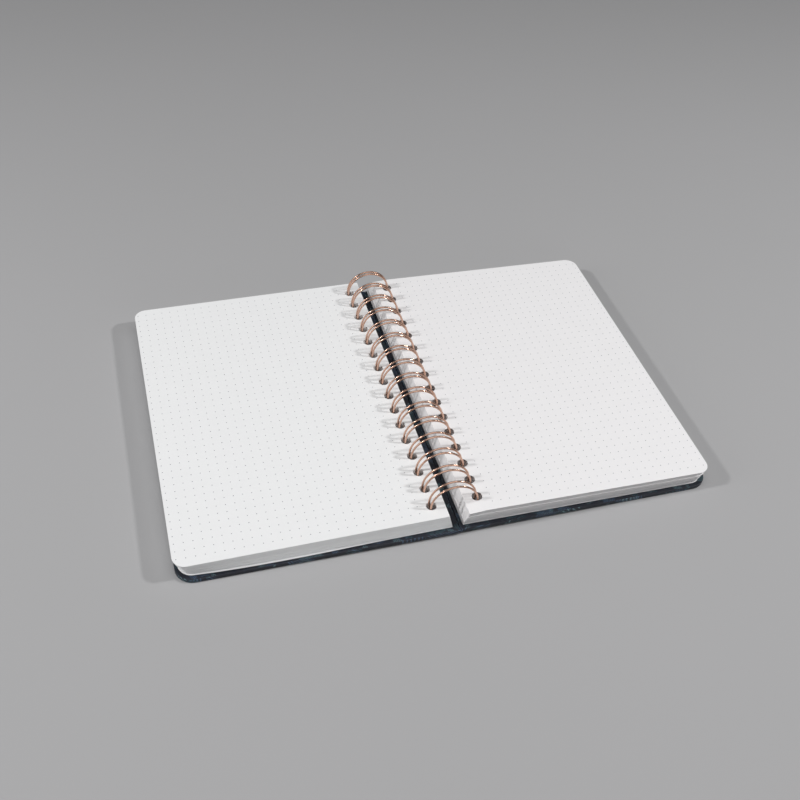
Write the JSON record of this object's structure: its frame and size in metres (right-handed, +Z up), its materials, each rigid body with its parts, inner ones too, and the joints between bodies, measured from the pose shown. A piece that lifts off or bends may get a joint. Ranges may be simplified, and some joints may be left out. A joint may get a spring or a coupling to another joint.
{
  "type": "twin-loop wire bound notebook",
  "caption": "Hard-cover notebook bound by a comb of twin wire loops, lying open in the middle, with dot-grid sheets that turn about the wire.",
  "frame": {"origin": "on the surface the notebook lies on, halfway between the fore edges of the two covers and halfway along the spine; the wire's axis is 0.9 mm to the left of it", "axes": "+X across the open notebook towards the right page, +Y along the spine towards the pages' top, +Z up"},
  "size_m": [0.3141, 0.2146, 0.0293],
  "materials": {
    "wrap": "matt printed paper, dark navy with a fine teal line pattern",
    "board": "raw grey board",
    "lining": "plain matt navy paper",
    "pages": "smooth uncoated white paper with a pale grey dot grid",
    "wire": "copper-coloured coated steel wire, glossy"
  },
  "bodies": {
    "base": {"back_wrap": "wrap", "back_board": "board", "back_lining": "lining", "wire_1": "wire", "wire_2": "wire", "wire_3": "wire", "wire_4": "wire", "wire_5": "wire", "wire_6": "wire", "wire_7": "wire", "wire_8": "wire"},
    "left_leaf": {"left_pages": "pages"},
    "right_leaf": {"right_pages": "pages"},
    "front_cover": {"front_wrap": "wrap", "front_board": "board", "front_lining": "lining"}
  },
  "joints": [
    {"name": "left_pages_turn", "type": "hinge", "parent": "base", "child": "left_leaf", "pos_m": [-0.0009, 0, 0.01465], "axis": [0, 1, 0], "range_deg": [0, 176]},
    {"name": "front_cover_turn", "type": "hinge", "parent": "base", "child": "front_cover", "pos_m": [-0.0009, 0, 0.01465], "axis": [0, 1, 0], "range_deg": [0, 176]},
    {"name": "right_pages_turn", "type": "hinge", "parent": "base", "child": "right_leaf", "pos_m": [-0.0009, 0, 0.01465], "axis": [0, -1, 0], "range_deg": [0, 176]}
  ],
  "couplings": [
    {"joint": "front_cover_turn", "follows": "left_pages_turn", "ratio": 1}
  ]
}
